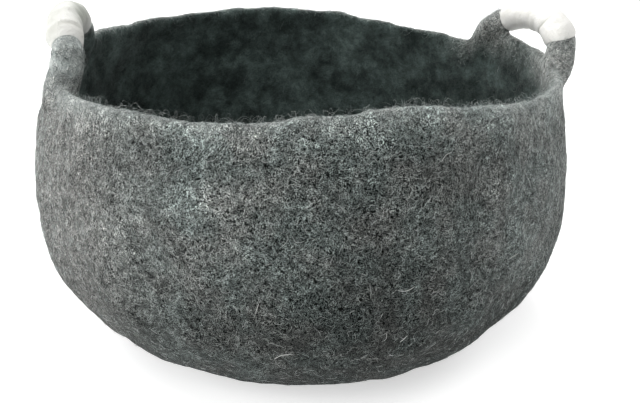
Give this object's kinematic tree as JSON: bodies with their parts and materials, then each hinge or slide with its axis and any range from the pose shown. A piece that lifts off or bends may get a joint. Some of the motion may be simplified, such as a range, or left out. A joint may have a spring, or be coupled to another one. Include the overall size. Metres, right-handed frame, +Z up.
{
  "type": "bowl pet bed",
  "caption": "Deep round felt basket that a cat curls up in, with a softly rounded underside and two arched hand-holds growing from its rim, their grips wrapped in white wool.",
  "frame": {"origin": "middle of the flat spot that the bowl stands on", "axes": "+Z up out of the mouth, +X towards the right hand-hold, -Y towards the front"},
  "size_m": [0.4672, 0.437, 0.2711],
  "materials": {
    "grey_felt": "fuzzy matt wet-felted marl wool",
    "white_wool": "smooth matt felted wool"
  },
  "bodies": {
    "root": {"bowl": "grey_felt", "wrap_left": "white_wool", "wrap_right": "white_wool"}
  },
  "joints": []
}
